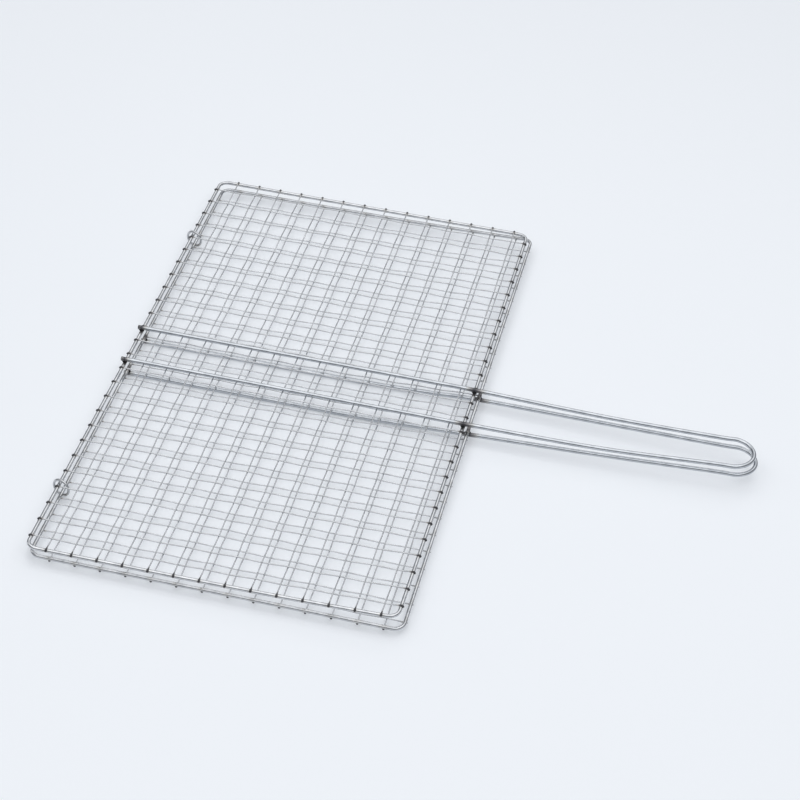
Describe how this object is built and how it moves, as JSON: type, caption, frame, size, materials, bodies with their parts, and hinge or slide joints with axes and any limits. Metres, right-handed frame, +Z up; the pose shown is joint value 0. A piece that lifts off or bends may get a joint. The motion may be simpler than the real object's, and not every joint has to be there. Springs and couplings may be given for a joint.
{
  "type": "grill basket",
  "caption": "Flat two-panel wire grill basket with woven mesh in wire frames, long loop handles and loose ring hinges, lying closed.",
  "frame": {"origin": "middle of the base of the box round the whole closed basket, on the surface it lies on", "axes": "+Z up, +X from the hinge rings towards the handles, +Y along the panels' long side, away from the viewer of the source view"},
  "size_m": [0.5346, 0.5338, 0.0209],
  "materials": {
    "frame_wire": "bright drawn stainless wire",
    "handle_rod": "bright drawn stainless rod",
    "mesh_wire": "crimped stainless wire, dark heat tint where it is hooked and welded",
    "ring_wire": "dull stainless wire"
  },
  "bodies": {
    "lower_panel": {"lower_frame": "frame_wire", "lower_frame_hinge_side": "frame_wire", "lower_handle": "handle_rod", "lower_wire_pair_01": "mesh_wire", "lower_wire_pair_02": "mesh_wire", "lower_wire_pair_03": "mesh_wire", "lower_wire_pair_04": "mesh_wire", "lower_wire_pair_05": "mesh_wire", "lower_wire_pair_06": "mesh_wire", "lower_wire_pair_07": "mesh_wire", "lower_wire_pair_08": "mesh_wire", "lower_wire_pair_09": "mesh_wire", "lower_wire_pair_10": "mesh_wire", "lower_wire_pair_11": "mesh_wire", "lower_wire_pair_12": "mesh_wire", "lower_wire_pair_13": "mesh_wire", "lower_wire_pair_14": "mesh_wire", "lower_short_wire_02": "mesh_wire", "lower_short_wire_04": "mesh_wire", "lower_short_wire_06": "mesh_wire", "lower_short_wire_08": "mesh_wire", "lower_short_wire_10": "mesh_wire", "lower_short_wire_12": "mesh_wire", "lower_short_wire_14": "mesh_wire", "lower_short_wire_16": "mesh_wire", "lower_short_wire_18": "mesh_wire", "lower_short_wire_20": "mesh_wire", "lower_short_wire_22": "mesh_wire", "lower_short_wire_24": "mesh_wire"},
    "hinge_ring_near": {"hinge_ring_near": "ring_wire"},
    "hinge_ring_far": {"hinge_ring_far": "ring_wire"},
    "upper_panel": {"upper_frame": "frame_wire", "upper_frame_hinge_side": "frame_wire", "upper_handle": "handle_rod", "upper_wire_pair_01": "mesh_wire", "upper_wire_pair_02": "mesh_wire", "upper_wire_pair_03": "mesh_wire", "upper_wire_pair_04": "mesh_wire", "upper_wire_pair_05": "mesh_wire", "upper_wire_pair_06": "mesh_wire", "upper_wire_pair_07": "mesh_wire", "upper_wire_pair_08": "mesh_wire", "upper_wire_pair_09": "mesh_wire", "upper_wire_pair_10": "mesh_wire", "upper_wire_pair_11": "mesh_wire", "upper_wire_pair_12": "mesh_wire", "upper_wire_pair_13": "mesh_wire", "upper_wire_pair_14": "mesh_wire", "upper_short_wire_02": "mesh_wire", "upper_short_wire_04": "mesh_wire", "upper_short_wire_06": "mesh_wire", "upper_short_wire_08": "mesh_wire", "upper_short_wire_10": "mesh_wire", "upper_short_wire_12": "mesh_wire", "upper_short_wire_14": "mesh_wire", "upper_short_wire_16": "mesh_wire", "upper_short_wire_18": "mesh_wire", "upper_short_wire_20": "mesh_wire", "upper_short_wire_22": "mesh_wire", "upper_short_wire_24": "mesh_wire"}
  },
  "joints": [
    {"name": "ring_far_swing", "type": "hinge", "parent": "lower_panel", "child": "hinge_ring_far", "pos_m": [-0.25839, 0.1732, 0.00529], "axis": [0, -1, 0], "range_deg": [0, 80]},
    {"name": "upper_panel_swing", "type": "hinge", "parent": "hinge_ring_far", "child": "upper_panel", "pos_m": [-0.26089, 0.1732, 0.01216], "axis": [0, -1, 0], "range_deg": [0, 109.5]},
    {"name": "ring_near_swing", "type": "hinge", "parent": "lower_panel", "child": "hinge_ring_near", "pos_m": [-0.25839, -0.1868, 0.00529], "axis": [0, -1, 0], "range_deg": [0, 80]}
  ],
  "couplings": [
    {"joint": "ring_far_swing", "follows": "upper_panel_swing", "ratio": 0.637},
    {"joint": "ring_near_swing", "follows": "upper_panel_swing", "ratio": 0.637}
  ]
}
